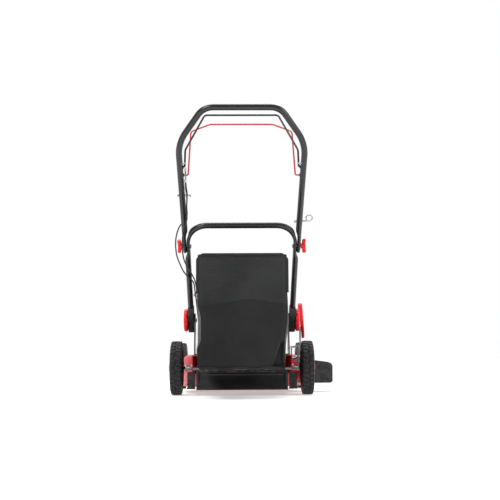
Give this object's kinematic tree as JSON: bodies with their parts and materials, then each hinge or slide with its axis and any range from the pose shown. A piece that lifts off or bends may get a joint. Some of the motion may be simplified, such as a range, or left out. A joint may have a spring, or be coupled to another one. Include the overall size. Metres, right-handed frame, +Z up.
{
  "type": "lawn mower",
  "caption": "Walk-behind petrol rotary mower with a folding tube handle, two bails, rear grass bag, side chute and four wheels.",
  "frame": {"origin": "middle of the overall box, on the ground", "axes": "+Z up, +Y forwards, +X to the mower's right; the operator stands on the -Y side"},
  "size_m": [0.6542, 1.173, 1.0175],
  "materials": {
    "deck_red": "gloss enamel",
    "black_plastic": "fine grain",
    "engine_plastic": "satin",
    "red_plastic": "satin",
    "black_rubber": "matt",
    "cable_black": "satin sheath",
    "tyre": "moulded tread",
    "black_paint": "satin powder coat",
    "red_paint": "gloss dip coat",
    "zinc_steel": "zinc plated",
    "blade_steel": "dark, ground edge",
    "cast_alloy": "as cast",
    "bag_fabric": "woven polyester mesh"
  },
  "bodies": {
    "deck": {"deck_shell": "deck_red", "grass_duct": "black_plastic", "engine_block": "cast_alloy", "cylinder_head": "cast_alloy", "blower_housing": "engine_plastic", "recoil_cover": "red_plastic", "fuel_tank": "engine_plastic", "air_filter": "engine_plastic", "muffler": "zinc_steel", "spark_plug_boot": "black_rubber", "bracket_left": "black_paint", "bracket_right": "black_paint", "drive_belt": "black_rubber", "brake_cable_lower": "cable_black", "drive_cable_lower": "cable_black"},
    "rotor": {"crankshaft": "zinc_steel", "flywheel": "cast_alloy", "blade_adapter": "cast_alloy", "blade": "blade_steel", "blade_bolt": "zinc_steel"},
    "rear_door": {"rear_door": "black_plastic"},
    "trailing_shield": {"trailing_shield": "black_rubber"},
    "side_chute": {"side_chute": "black_plastic"},
    "fuel_cap": {"fuel_cap": "red_plastic"},
    "oil_cap": {"oil_cap": "red_plastic"},
    "starter_grip": {"starter_grip": "black_rubber"},
    "rear_axle": {"rear_axle": "zinc_steel", "gearbox": "cast_alloy"},
    "front_axle": {"front_axle": "zinc_steel"},
    "height_link": {"height_link": "zinc_steel"},
    "height_lever": {"height_lever": "zinc_steel", "height_grip": "red_plastic"},
    "drive_shaft": {"drive_shaft": "black_paint"},
    "gearbox_pulley": {"gearbox_pulley": "zinc_steel"},
    "rear_wheel_left": {"rear_tyre_left": "tyre", "rear_rim_left": "black_plastic", "rear_cap_left": "red_plastic"},
    "rear_wheel_right": {"rear_tyre_right": "tyre", "rear_rim_right": "black_plastic", "rear_cap_right": "red_plastic"},
    "front_wheel_left": {"front_tyre_left": "tyre", "front_rim_left": "black_plastic"},
    "front_wheel_right": {"front_tyre_right": "tyre", "front_rim_right": "black_plastic"},
    "lower_handle": {"lower_handle": "black_paint", "handle_foot_left": "black_plastic", "handle_foot_right": "black_plastic"},
    "upper_handle": {"upper_handle": "black_paint", "rope_guide": "zinc_steel", "cable_clip": "zinc_steel", "brake_cable_upper": "cable_black", "drive_cable_upper": "cable_black"},
    "disc_knob_left": {"disc_knob_left": "red_plastic"},
    "disc_knob_right": {"disc_knob_right": "red_plastic"},
    "wing_knob_left": {"wing_knob_left": "red_plastic"},
    "wing_knob_right": {"wing_knob_right": "red_plastic"},
    "brake_bail": {"brake_bail": "black_paint"},
    "drive_bail": {"drive_bail": "red_paint"},
    "bag": {"bag_fabric": "bag_fabric", "bag_frame": "black_paint"}
  },
  "joints": [
    {"name": "lower_handle_fold", "type": "hinge", "parent": "deck", "child": "lower_handle", "pos_m": [-0.0379, -0.0066, 0.286], "axis": [1, 0, 0], "range_deg": [-110, 0], "deforming": ["brake_cable_lower", "drive_cable_lower"]},
    {"name": "upper_handle_fold", "type": "hinge", "parent": "lower_handle", "child": "upper_handle", "pos_m": [-0.0379, -0.22605, 0.55221], "axis": [1, 0, 0], "range_deg": [0, 90], "deforming": ["brake_cable_upper", "drive_cable_upper"]},
    {"name": "brake_bail_squeeze", "type": "hinge", "parent": "upper_handle", "child": "brake_bail", "pos_m": [-0.0379, -0.43443, 0.80499], "axis": [1, 0, 0], "range_deg": [0, 55], "stiffness_Nm_per_rad": 0.35, "springref_deg": -28.65},
    {"name": "drive_bail_squeeze", "type": "hinge", "parent": "upper_handle", "child": "drive_bail", "pos_m": [-0.0379, -0.41433, 0.78061], "axis": [1, 0, 0], "range_deg": [0, 60.5]},
    {"name": "disc_knob_left_turn", "type": "hinge", "parent": "lower_handle", "child": "disc_knob_left", "pos_m": [-0.0379, -0.0066, 0.286], "axis": [1, 0, 0], "range_deg": [0, 90]},
    {"name": "disc_knob_right_turn", "type": "hinge", "parent": "lower_handle", "child": "disc_knob_right", "pos_m": [-0.0379, -0.0066, 0.286], "axis": [1, 0, 0], "range_deg": [0, 90]},
    {"name": "wing_knob_left_turn", "type": "hinge", "parent": "upper_handle", "child": "wing_knob_left", "pos_m": [-0.0379, -0.22605, 0.55221], "axis": [1, 0, 0], "continuous": true},
    {"name": "wing_knob_right_turn", "type": "hinge", "parent": "upper_handle", "child": "wing_knob_right", "pos_m": [-0.0379, -0.22605, 0.55221], "axis": [1, 0, 0], "continuous": true},
    {"name": "height_lever_turn", "type": "hinge", "parent": "deck", "child": "height_lever", "pos_m": [-0.0379, 0.0534, 0.134], "axis": [1, 0, 0], "range_deg": [-26, 0]},
    {"name": "rear_axle_turn", "type": "hinge", "parent": "deck", "child": "rear_axle", "pos_m": [-0.0379, -0.1366, 0.1], "axis": [1, 0, 0], "range_deg": [-39.1, 0], "deforming": ["drive_belt"]},
    {"name": "front_axle_turn", "type": "hinge", "parent": "deck", "child": "front_axle", "pos_m": [-0.0379, 0.4434, 0.1], "axis": [1, 0, 0], "range_deg": [-39.1, 0]},
    {"name": "height_link_turn", "type": "hinge", "parent": "rear_axle", "child": "height_link", "pos_m": [-0.0379, -0.1366, 0.18], "axis": [1, 0, 0], "range_deg": [0, 39.1]},
    {"name": "drive_shaft_spin", "type": "hinge", "parent": "rear_axle", "child": "drive_shaft", "pos_m": [-0.0379, -0.0966, 0.1015], "axis": [1, 0, 0], "continuous": true},
    {"name": "rear_wheel_left_spin", "type": "hinge", "parent": "drive_shaft", "child": "rear_wheel_left", "pos_m": [-0.0379, -0.0966, 0.1015], "axis": [1, 0, 0], "continuous": true},
    {"name": "rear_wheel_right_spin", "type": "hinge", "parent": "drive_shaft", "child": "rear_wheel_right", "pos_m": [-0.0379, -0.0966, 0.1015], "axis": [1, 0, 0], "continuous": true},
    {"name": "front_wheel_left_spin", "type": "hinge", "parent": "front_axle", "child": "front_wheel_left", "pos_m": [-0.0379, 0.4834, 0.1015], "axis": [1, 0, 0], "continuous": true},
    {"name": "front_wheel_right_spin", "type": "hinge", "parent": "front_axle", "child": "front_wheel_right", "pos_m": [-0.0379, 0.4834, 0.1015], "axis": [1, 0, 0], "continuous": true},
    {"name": "rotor_spin", "type": "hinge", "parent": "deck", "child": "rotor", "pos_m": [-0.0379, 0.1884, 0.1], "axis": [0, 0, 1], "continuous": true},
    {"name": "gearbox_pulley_spin", "type": "hinge", "parent": "rear_axle", "child": "gearbox_pulley", "pos_m": [-0.1479, -0.0966, 0.137], "axis": [0, 0, 1], "continuous": true},
    {"name": "rear_door_lift", "type": "hinge", "parent": "deck", "child": "rear_door", "pos_m": [-0.0379, -0.1426, 0.25], "axis": [1, 0, 0], "range_deg": [-75, 0]},
    {"name": "trailing_shield_swing", "type": "hinge", "parent": "deck", "child": "trailing_shield", "pos_m": [-0.0379, -0.1466, 0.09], "axis": [1, 0, 0], "range_deg": [-60, 0]},
    {"name": "side_chute_lift", "type": "hinge", "parent": "deck", "child": "side_chute", "pos_m": [0.2111, 0.1384, 0.126], "axis": [0, 1, 0], "range_deg": [-50, 0]},
    {"name": "fuel_cap_turn", "type": "hinge", "parent": "deck", "child": "fuel_cap", "pos_m": [-0.1839, 0.1884, 0.34], "axis": [0, 0, 1], "range_deg": [0, 90]},
    {"name": "oil_cap_pull", "type": "slide", "parent": "deck", "child": "oil_cap", "axis": [0, 0, 1], "range_m": [0, 0.09]},
    {"name": "starter_pull", "type": "slide", "parent": "deck", "child": "starter_grip", "axis": [0, -0.8, 0.6], "range_m": [0, 0.25]},
    {"name": "bag_lift_off", "type": "slide", "parent": "deck", "child": "bag", "axis": [0, -0.7853, 0.6191], "range_m": [0, 0.07]}
  ],
  "couplings": [
    {"joint": "drive_bail_squeeze", "follows": "brake_bail_squeeze", "ratio": 1.0909},
    {"joint": "rear_axle_turn", "follows": "height_lever_turn", "ratio": 1.5},
    {"joint": "front_axle_turn", "follows": "height_lever_turn", "ratio": 1.5},
    {"joint": "height_link_turn", "follows": "height_lever_turn", "ratio": -1.5},
    {"joint": "gearbox_pulley_spin", "follows": "rotor_spin", "ratio": 1.14}
  ]
}
